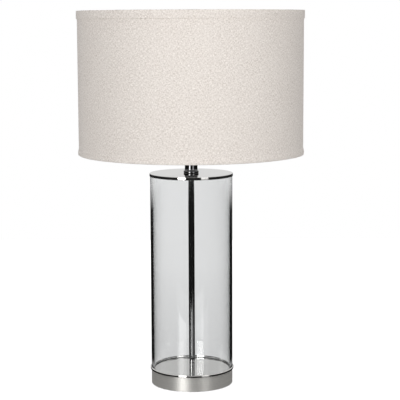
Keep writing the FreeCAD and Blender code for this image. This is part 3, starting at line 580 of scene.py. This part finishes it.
linen = finish("linen", {"Sheen Weight": 0.15}, linen_recipe)
white_lining = finish("white_lining", {"Roughness": 0.5}, lining_recipe)
felt = finish("felt", {"Roughness": 1.0, "Sheen Weight": 0.4}, felt_recipe)
black_plastic = moulded("black_plastic", (0.012, 0.012, 0.013), (0.022, 0.022, 0.023), 0.22, 0.34)
black_rubber = moulded("black_rubber", (0.015, 0.015, 0.015), (0.03, 0.03, 0.03), 0.5, 0.7)
fibre = moulded("fibre", (0.20, 0.08, 0.04), (0.29, 0.13, 0.07), 0.5, 0.65)
porcelain = moulded("porcelain", (0.82, 0.81, 0.78), (0.88, 0.87, 0.85), 0.12, 0.2, coat=0.5)
white_wire = moulded("white_wire", (0.80, 0.80, 0.79), (0.86, 0.86, 0.85), 0.3, 0.42)
bulb_metal = moulded("bulb_metal", (0.60, 0.59, 0.57), (0.74, 0.73, 0.70), 0.2, 0.35)
bulb_metal.node_tree.nodes["Principled BSDF"].inputs["Metallic"].default_value = 1.0

# %% [markdown]
# The CAD nodes whose shape is right keep it and only get a finish: the inner steel, brass and ceramic parts,
# the two seals and the white wires of the shade.

# %% Finishes for the nodes that stay
KEPT = {
    "base_cover": zinc_steel,
    "cover_screws": zinc_steel,
    "base_weight": cast_iron,
    "base_washer": zinc_steel,
    "spring_washer": zinc_steel,
    "base_nut": zinc_steel,
    "lower_gasket": clear_seal,
    "upper_gasket": clear_seal,
    "threaded_rod": zinc_steel,
    "cap_washer": zinc_steel,
    "cap_nut": zinc_steel,
    "grub_screw": zinc_steel,
    "socket_insulator": porcelain,
    "terminal_screws": brass,
    "screw_shell": brass,
    "centre_contact": brass,
    "ring_washer": fibre,
    "top_wire_ring": white_wire,
    "bottom_wire_ring": white_wire,
    "shade_spokes": white_wire,
    "fitter_ring": white_wire,
    "bulb_contact": zinc_steel,
}
for node, material in KEPT.items():
    mesh = nodes[node].data
    for index in range(len(mesh.materials)):
        mesh.materials[index] = material
print(len(KEPT), "nodes keep their mesh")

# %% [markdown]
# The base, from the floor up: a felt disc with a soft edge, and the brushed drum. The drum's section is spun
# as an open-bottomed cup, so that it has a real wall, and the cord's hole is cut through the back with a
# boolean.

# %% Base
felt_low, felt_high, felt_radius = levels("felt_pad")
drum_low, drum_high, drum_radius = levels("base_drum")
DRUM_WALL = 1.2 * MM
ROD_HOLE = 5.0 * MM
INLET_HOLE = 5.5 * MM
INLET_CUT = 12.0 * MM  # more than the drum's wall
FINE_STEPS = 256  # for the large bright rims

spun(
    "felt_disc",
    [
        (0.0, felt_low),
        (felt_radius, felt_low, 0.6 * MM),
        (felt_radius, felt_high, 0.5 * MM),
        (0.0, felt_high),
    ],
    "lamp",
    felt,
    ["felt_pad"],
)

drum = spun(
    "brushed_drum",
    [
        (ROD_HOLE, drum_high - DRUM_WALL),
        (drum_radius - DRUM_WALL, drum_high - DRUM_WALL),
        (drum_radius - DRUM_WALL, drum_low),
        (drum_radius, drum_low, 0.3 * MM),
        (drum_radius, drum_high, 0.8 * MM),
        (ROD_HOLE, drum_high),
    ],
    "lamp",
    brushed_nickel,
    ["base_drum"],
    steps=FINE_STEPS,
)


def bore_through(piece, centre, direction, radius, length):
    """Cut a round hole through a piece, and keep the result as its mesh."""
    cutter_mesh = bpy.data.meshes.new("cutter")
    bm = bmesh.new()
    bmesh.ops.create_cone(bm, cap_ends=True, segments=64, radius1=radius, radius2=radius, depth=length)
    turn = Vector((0, 0, 1)).rotation_difference(direction).to_matrix().to_4x4()
    bmesh.ops.transform(bm, matrix=Matrix.Translation(centre) @ turn, verts=bm.verts)
    bm.to_mesh(cutter_mesh)
    bm.free()
    cutter = bpy.data.objects.new("cutter", cutter_mesh)
    bpy.context.scene.collection.objects.link(cutter)
    boolean = piece.modifiers.new("bore", "BOOLEAN")
    boolean.object = cutter
    boolean.operation = "DIFFERENCE"
    boolean.solver = "EXACT"
    view = bpy.context.evaluated_depsgraph_get()
    cut_mesh = bpy.data.meshes.new_from_object(piece.evaluated_get(view))
    piece.modifiers.clear()
    piece.data = cut_mesh
    bpy.data.objects.remove(cutter)
    cut_mesh.set_sharp_from_angle(angle=SHARP)


grommet_low, grommet_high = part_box("cord_grommet")
inlet_centre = (grommet_low + grommet_high) / 2
bore_through(drum, inlet_centre, Vector((0, 1, 0)), INLET_HOLE, INLET_CUT)
print("cord hole in the back at height", round(inlet_centre.z / MM, 1), "mm")

# %% [markdown]
# The grommet is turned about its own axis, which points out of the back. It is spun upright and then laid
# over.

# %% Cord grommet
GROMMET_BORE = 3.75 * MM
GROMMET_FLANGE = 1.6 * MM
GROMMET_WAIST = INLET_HOLE - 0.1 * MM
grommet_length = grommet_high.y - grommet_low.y
grommet_radius = (grommet_high.z - grommet_low.z) / 2
bm = bmesh.new()
spin_section(
    bm,
    [
        (GROMMET_BORE, 0.0, 0.3 * MM),
        (grommet_radius, 0.0, 0.3 * MM),
        (grommet_radius, GROMMET_FLANGE),
        (GROMMET_WAIST, GROMMET_FLANGE),
        (GROMMET_WAIST, grommet_length - GROMMET_FLANGE),
        (grommet_radius, grommet_length - GROMMET_FLANGE),
        (grommet_radius, grommet_length, 0.8 * MM),
        (GROMMET_BORE, grommet_length, 0.5 * MM),
    ],
    steps=64,
)
laid = Matrix.Translation((0, grommet_low.y, inlet_centre.z)) @ Matrix.Rotation(-math.pi / 2, 4, "X")
bmesh.ops.transform(bm, matrix=laid, verts=bm.verts)
add_piece("rubber_grommet", bm, "lamp", black_rubber, ["cord_grommet"])

# %% [markdown]
# The column: a polished tray with a raised rim, the glass tube, the sleeve on the rod, the lid and the neck.
# Each takes its heights and outer radius from the CAD node that it stands for, and adds the soft edges of
# real metal.

# %% Column
tray_low, tray_high, tray_radius = levels("glass_tray")
glass_low, glass_high, glass_radius = levels("glass_cylinder")
tube_low, tube_high, tube_radius = levels("centre_tube")
cap_low, cap_high, cap_radius = levels("cap_plate")
neck_low, neck_high, foot_radius = levels("neck_collar")
TRAY_FLOOR = 1.0 * MM
TRAY_RIM = 1.6 * MM
GLASS_WALL = 4.5 * MM
TUBE_WALL = 0.5 * MM
CAP_SHEET = 1.5 * MM
CAP_RIM = 0.8 * MM
NECK_RADIUS = 11.45 * MM
NECK_WALL = 1.5 * MM
NECK_FLARE = 0.5 * MM
FLARE_HEIGHT = 2.5 * MM
FOOT_HEIGHT = 4.3 * MM
GLASS_ROUNDING = 1.0 * MM

spun(
    "polished_tray",
    [
        (ROD_HOLE, tray_low),
        (tray_radius, tray_low, 1.0 * MM),
        (tray_radius, tray_high, 1.45 * MM),
        (tray_radius - TRAY_RIM, tray_high),
        (tray_radius - TRAY_RIM, tray_low + TRAY_FLOOR, 0.3 * MM),
        (ROD_HOLE, tray_low + TRAY_FLOOR),
    ],
    "lamp",
    polished_nickel,
    ["glass_tray"],
    steps=FINE_STEPS,
)

spun(
    "glass_tube",
    [
        (glass_radius - GLASS_WALL, glass_low, GLASS_ROUNDING),
        (glass_radius, glass_low, GLASS_ROUNDING),
        (glass_radius, glass_high, GLASS_ROUNDING),
        (glass_radius - GLASS_WALL, glass_high, GLASS_ROUNDING),
    ],
    "lamp",
    clear_glass,
    ["glass_cylinder"],
    steps=FINE_STEPS,
)

spun(
    "polished_sleeve",
    [
        (tube_radius - TUBE_WALL, tube_low),
        (tube_radius, tube_low),
        (tube_radius, tube_high),
        (tube_radius - TUBE_WALL, tube_high),
    ],
    "lamp",
    tube_nickel_painted_dark,
    ["centre_tube"],
    steps=96,
)

spun(
    "polished_lid",
    [
        (ROD_HOLE, cap_high - CAP_SHEET),
        (cap_radius - CAP_RIM, cap_high - CAP_SHEET),
        (cap_radius - CAP_RIM, cap_low),
        (cap_radius, cap_low, 0.2 * MM),
        (cap_radius, cap_high, 0.3 * MM),
        (ROD_HOLE, cap_high),
    ],
    "lamp",
    polished_nickel,
    ["cap_plate"],
    steps=FINE_STEPS,
)

spun(
    "neck",
    [
        (NECK_RADIUS - NECK_WALL, neck_low),
        (foot_radius, neck_low, 1.2 * MM),
        (foot_radius, neck_low + FOOT_HEIGHT, 1.2 * MM),
        (NECK_RADIUS + NECK_FLARE, neck_low + FOOT_HEIGHT, 0.2 * MM),
        (NECK_RADIUS, neck_low + FOOT_HEIGHT + FLARE_HEIGHT, 0.8 * MM),
        (NECK_RADIUS, neck_high, 0.4 * MM),
        (ROD_HOLE, neck_high),
        (ROD_HOLE, neck_high - NECK_WALL),
        (NECK_RADIUS - NECK_WALL, neck_high - NECK_WALL),
    ],
    "lamp",
    dark_nickel,
    ["neck_collar"],
    steps=128,
)

# %% [markdown]
# The lampholder is black and moulded. Its skirt carries a real screw thread: a profile one pitch high is
# spun round the axis while it climbs, so that each turn meets the last, and two planes cut the ends level.

# %% Lampholder
HOLDER_WALL = 1.8 * MM
SKIRT_PITCH = 2.5 * MM
SKIRT_DEPTH = 0.55 * MM
holder_cap_low, holder_cap_high, holder_radius = levels("holder_cap")
holder_low, holder_high, flange_radius = levels("holder_body")
_, fitter_high, _ = levels("fitter_ring")
FLANGE = 2.5 * MM
FLANGE_TOP = 24.0 * MM  # above the foot of the holder's body
BAR_HOLE = 3.3 * MM
BAR_CUT = 60.0 * MM  # right through the holder
THREAD_WALL = 0.25 * MM
THREAD_SEAT = 0.1 * MM  # between the thread's root and the wall that it stands on
flange_top = holder_low + FLANGE_TOP


def spin_thread(bm, profile, pitch, low, high, steps=96):
    """A threaded wall: an open profile of (radius, height), one pitch high, climbs from low to high."""
    verts = [bm.verts.new((radius, 0.0, low - pitch + height)) for radius, height in profile]
    edges = [bm.edges.new(pair) for pair in zip(verts, verts[1:])]
    turns = math.ceil((high - low) / pitch) + 2
    bmesh.ops.spin(
        bm,
        geom=verts + edges,
        cent=(0, 0, 0),
        axis=(0, 0, 1),
        dvec=(0, 0, pitch / steps),
        angle=math.tau * turns,
        steps=steps * turns,
    )
    bmesh.ops.remove_doubles(bm, verts=bm.verts, dist=2e-6)
    for height, normal in ((low, (0, 0, -1)), (high, (0, 0, 1))):
        bmesh.ops.bisect_plane(
            bm,
            geom=bm.verts[:] + bm.edges[:] + bm.faces[:],
            dist=1e-7,
            plane_co=(0, 0, height),
            plane_no=normal,
            clear_outer=True,
        )


def thicken(bm, thickness):
    """Give an open wall its thickness, inwards."""
    bmesh.ops.recalc_face_normals(bm, faces=bm.faces)
    bmesh.ops.solidify(bm, geom=bm.faces[:], thickness=thickness)


bm = bmesh.new()
holder_inside = holder_radius - HOLDER_WALL
root_radius = holder_radius - SKIRT_DEPTH
spin_section(
    bm,
    [
        (holder_inside, holder_low),
        (holder_radius, holder_low, 0.3 * MM),
        (holder_radius, flange_top - FLANGE, 0.4 * MM),
        (flange_radius, flange_top - FLANGE, 0.6 * MM),
        (flange_radius, flange_top, 0.6 * MM),
        (root_radius - THREAD_SEAT, flange_top),
        (root_radius - THREAD_SEAT, holder_high, 0.4 * MM),
        (holder_inside, holder_high, 0.4 * MM),
    ],
    steps=128,
)
sleeve = add_piece("holder_sleeve", bm, "lamp", black_plastic, ["holder_body"])
bar_low, bar_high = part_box("switch_bar")
bar_centre = Vector((0, 0, (bar_low.z + bar_high.z) / 2))
bore_through(sleeve, bar_centre, Vector((1, 0, 0)), BAR_HOLE, BAR_CUT)

bm = bmesh.new()
tooth = ((0.0, 0), (0.25, 0), (0.45, 1), (0.8, 1), (1.0, 0))  # shares of the pitch and of the depth
spin_thread(
    bm,
    [(root_radius + depth * SKIRT_DEPTH, share * SKIRT_PITCH) for share, depth in tooth],
    SKIRT_PITCH,
    fitter_high + 1.2 * MM,
    holder_high - 0.8 * MM,
)
thicken(bm, THREAD_WALL)
add_piece("holder_thread", bm, "lamp", black_plastic, ())

DOME_FOOT = 3.5 * MM
DOME_HEIGHT = 9.0 * MM
CUP_HOLE = 4.9 * MM  # lets the rod through
CUP_STEP = 1.5 * MM  # the seat on which the holder's body stands
spun(
    "holder_cup",
    [
        (CUP_HOLE, holder_cap_low),
        (NECK_RADIUS, holder_cap_low, 0.5 * MM),
        (NECK_RADIUS, holder_cap_low + DOME_FOOT, 0.8 * MM),
        (holder_inside, holder_cap_low + DOME_FOOT + HOLDER_WALL, 2.5 * MM),
        (holder_radius, holder_cap_low + DOME_FOOT + DOME_HEIGHT, 2.0 * MM),
        (holder_radius, holder_cap_high, 0.3 * MM),
        (holder_inside, holder_cap_high),
        (holder_inside, holder_cap_high - CUP_STEP),
        (holder_inside - CUP_STEP, holder_cap_high - CUP_STEP),
        (holder_inside - CUP_STEP, holder_cap_low + DOME_FOOT + 4.3 * MM),
        (CUP_HOLE, holder_cap_low + DOME_FOOT + 2.5 * MM),
    ],
    "lamp",
    black_plastic,
    ["holder_cap"],
    steps=128,
)

# %% [markdown]
# The switch bar is a rod with a button at each end, laid along X. The clamp ring is a plain ring whose
# outside is pressed in between ribs, so that fingers can turn it: in each group of six columns of vertices
# three move inwards.

# %% Switch bar and clamp ring
BAR_RADIUS = 3.0 * MM
BUTTON_LENGTH = 4.0 * MM
button_radius = (bar_high.z - bar_low.z) / 2
bar_length = bar_high.x - bar_low.x
bm = bmesh.new()
spin_section(
    bm,
    [
        (0.0, 0.0),
        (button_radius, 0.0, 1.3 * MM),
        (button_radius, BUTTON_LENGTH, 0.5 * MM),
        (BAR_RADIUS, BUTTON_LENGTH),
        (BAR_RADIUS, bar_length - BUTTON_LENGTH),
        (button_radius, bar_length - BUTTON_LENGTH, 0.5 * MM),
        (button_radius, bar_length, 1.3 * MM),
        (0.0, bar_length),
    ],
    steps=64,
)
along = Matrix.Translation((bar_low.x, 0, bar_centre.z)) @ Matrix.Rotation(math.pi / 2, 4, "Y")
bmesh.ops.transform(bm, matrix=along, verts=bm.verts)
add_piece("push_bar", bm, "switch_bar", black_plastic, ["switch_bar"])

RIBS = 36
COLUMNS_PER_RIB = 6
PRESSED_IN = (1, 2, 3)  # the columns of each rib that move
RIB_DEPTH = 0.7 * MM
RIB_ZONE = 1.3 * MM  # from the outside inwards
RING_BORE = 20.3 * MM
ring_low, ring_high, ring_radius = levels("clamp_ring")
bm = bmesh.new()
spin_section(
    bm,
    [
        (RING_BORE, ring_low),
        (ring_radius, ring_low, 1.2 * MM),
        (ring_radius, ring_high, 1.6 * MM),
        (RING_BORE, ring_high, 0.5 * MM),
    ],
    steps=RIBS * COLUMNS_PER_RIB,
)
for vert in bm.verts:
    radius = vert.co.xy.length
    turned = math.atan2(vert.co.y, vert.co.x) / math.tau
    column = round(turned * RIBS * COLUMNS_PER_RIB) % COLUMNS_PER_RIB
    if radius > ring_radius - RIB_ZONE and column in PRESSED_IN:
        vert.co.xy *= (radius - RIB_DEPTH) / radius
add_piece("ribbed_ring", bm, "clamp_ring", black_plastic, ["clamp_ring"])

# %% [markdown]
# The bulb has the common pear shape. Its outline is worked out from the globe's radius and the neck, with a
# straight flank that runs tangent into the globe. The metal cap has a rolled thread, which is a cosine wave.

# %% Bulb
bulb_cap_low, bulb_cap_high, bulb_cap_radius = levels("bulb_cap")
envelope_low, envelope_high, globe_radius = levels("bulb_envelope")
BULB_NECK = 12.2 * MM
ENVELOPE_WALL = 0.8 * MM
CAP_PITCH = 3.629 * MM
CAP_WAVE = 0.45 * MM  # half the depth of the rolled thread
WAVE_STEPS = 12
CAP_LINER = 1.0 * MM  # the plain wall behind the thread, from the crest inwards
CAP_NOSE = 6.0 * MM
ARC_STEPS = 28
BULB_STEPS = 96


def pear_outline(neck, globe, foot, throat, top):
    """The half outline of a bulb: neck, flank tangent to the globe, and the globe up to the axis."""
    centre = Vector((0.0, top - globe))
    corner = Vector((neck, throat))
    reach = corner - centre
    bearing = math.atan2(reach.y, reach.x)
    meet = bearing + math.acos(globe / reach.length)
    points = [(neck, foot), (neck, throat)]
    for step in range(ARC_STEPS + 1):
        angle = meet + (math.pi / 2 - meet) * step / ARC_STEPS
        points.append((max(globe * math.cos(angle), 0.0), centre.y + globe * math.sin(angle)))
    return points


outside = pear_outline(BULB_NECK, globe_radius, envelope_low, bulb_cap_high, envelope_high)
inside = pear_outline(
    BULB_NECK - ENVELOPE_WALL,
    globe_radius - ENVELOPE_WALL,
    envelope_low + ENVELOPE_WALL,
    bulb_cap_high,
    envelope_high - ENVELOPE_WALL,
)
bm = bmesh.new()
spin_section(bm, outside + [(0.0, envelope_low)], BULB_STEPS)
spin_section(bm, inside + [(0.0, envelope_low + ENVELOPE_WALL)], BULB_STEPS)
add_piece("bulb_glass", bm, "bulb", opal_glass, ["bulb_envelope"])

bm = bmesh.new()
wave = [
    (bulb_cap_radius - CAP_WAVE * (1 - math.cos(math.tau * step / WAVE_STEPS)), CAP_PITCH * step / WAVE_STEPS)
    for step in range(WAVE_STEPS + 1)
]
spin_thread(bm, wave, CAP_PITCH, bulb_cap_low + 6.0 * MM, bulb_cap_high - 1.5 * MM)
thicken(bm, THREAD_WALL)
spin_section(
    bm,
    [
        (CAP_NOSE, bulb_cap_low + 0.2 * MM),
        (bulb_cap_radius - CAP_LINER, bulb_cap_low + 4.0 * MM, 0.8 * MM),
        (bulb_cap_radius - CAP_LINER, bulb_cap_high - 0.8 * MM),
        (bulb_cap_radius, bulb_cap_high - 0.5 * MM),
        (bulb_cap_radius, bulb_cap_high),
        (bulb_cap_radius - 0.5 * MM, bulb_cap_high),
        (bulb_cap_radius - 1.3 * MM, bulb_cap_high - 1.0 * MM),
        (bulb_cap_radius - 1.3 * MM, bulb_cap_low + 5.0 * MM),
        (CAP_NOSE, bulb_cap_low + 1.0 * MM),
    ],
    steps=BULB_STEPS,
)
add_piece("bulb_screw", bm, "bulb", bulb_metal, ["bulb_cap"])

# %% [markdown]
# The shade. Its linen is one strip of cloth stretched round a stiff white sheet and lapped at the back. The
# strip is a spun tube, and the second layer of the lap is a short piece of its own, which lies on it. Both
# have a UV map in metres of cloth, so that the weave keeps its scale. Two folded hems, which run down into
# the strip's outside, hide the wire hoops at top and bottom.

# %% Shade
cloth_low, cloth_high, cloth_radius = levels("shade_fabric")
lining_low, lining_high, lining_radius = levels("shade_lining")
top_low, top_high, shade_radius = levels("top_binding")
hem_low, hem_high, _ = levels("bottom_binding")
CLOTH = 0.5 * MM
LINING = 0.5 * MM
LAP = 12.0 * MM
LAP_THICKNESS = 0.4 * MM
LAP_STEPS = 12
UNDER_HEM = 1.0 * MM  # the lap's ends run this far under the hems
SHADE_STEPS = 360


def unroll(bm, radius):
    """Give every face a UV map in metres of cloth, u along the edge and v up, with its join at the back."""
    layer = bm.loops.layers.uv.verify()
    for face in bm.faces:
        middle = face.calc_center_median()
        about = math.atan2(middle.x, -middle.y)
        for loop in face.loops:
            corner = loop.vert.co
            angle = math.atan2(corner.x, -corner.y)
            if corner.xy.length < MERGE:
                angle = about
            if angle - about > math.pi:
                angle -= math.tau
            if about - angle > math.pi:
                angle += math.tau
            loop[layer].uv = (angle * radius, corner.z + (corner.xy.length - radius))


bm = bmesh.new()
spin_section(
    bm,
    [
        (cloth_radius - CLOTH, cloth_low),
        (cloth_radius, cloth_low),
        (cloth_radius, cloth_high),
        (cloth_radius - CLOTH, cloth_high),
    ],
    steps=SHADE_STEPS,
)
unroll(bm, cloth_radius)
cloth = add_piece("linen_drum", bm, "shade", linen, ["shade_fabric"])

spun(
    "stiff_lining",
    [
        (lining_radius - LINING, lining_low),
        (lining_radius, lining_low),
        (lining_radius, lining_high),
        (lining_radius - LINING, lining_high),
    ],
    "shade",
    white_lining,
    ["shade_lining"],
    steps=SHADE_STEPS,
)

bm = bmesh.new()
low = bm.verts.new((0, cloth_radius, hem_high - UNDER_HEM))
high = bm.verts.new((0, cloth_radius, top_low + UNDER_HEM))
edge = bm.edges.new((low, high))
bmesh.ops.spin(
    bm,
    geom=[low, high, edge],
    cent=(0, 0, 0),
    axis=(0, 0, 1),
    angle=LAP / cloth_radius,
    steps=LAP_STEPS,
)
thicken(bm, -LAP_THICKNESS)
unroll(bm, cloth_radius)
back_lap = add_piece("back_lap", bm, "shade", linen, ())

HEM_LEG = 0.8 * MM
LEG_HEIGHT = 10.0 * MM
LEG_INSIDE = 196.2 * MM
HEM_FOLD = 1.0 * MM
HEM_SINK = 0.1 * MM  # how far the hem's end lies inside the cloth's outside


def make_hem(name, outside, node):
    """A strip of linen folded over an edge of the drum; its outer corners are given."""
    fold = outside[0][1]
    side = 1 if outside[-1][1] > fold else -1
    bm = bmesh.new()
    spin_section(
        bm,
        [(LEG_INSIDE, fold, 0.9 * MM)]
        + outside
        + [
            (cloth_radius - HEM_SINK, fold + side * HEM_FOLD),
            (LEG_INSIDE + HEM_LEG, fold + side * HEM_FOLD),
            (LEG_INSIDE + HEM_LEG, fold + side * LEG_HEIGHT),
            (LEG_INSIDE, fold + side * LEG_HEIGHT, 0.3 * MM),
        ],
        steps=SHADE_STEPS,
    )
    unroll(bm, shade_radius)
    return add_piece(name, bm, "shade", linen, [node])


top_hem = make_hem(
    "top_hem",
    [
        (shade_radius, top_high, 1.4 * MM),
        (shade_radius, top_low, 0.5 * MM),
        (cloth_radius - HEM_SINK, top_low),
    ],
    "top_binding",
)
bottom_hem = make_hem(
    "bottom_hem",
    [
        (shade_radius - 0.5 * MM, hem_low, 1.8 * MM),
        (shade_radius, hem_low + 4.5 * MM, 3.0 * MM),
        (cloth_radius - HEM_SINK / 2, hem_high),
    ],
    "bottom_binding",
)
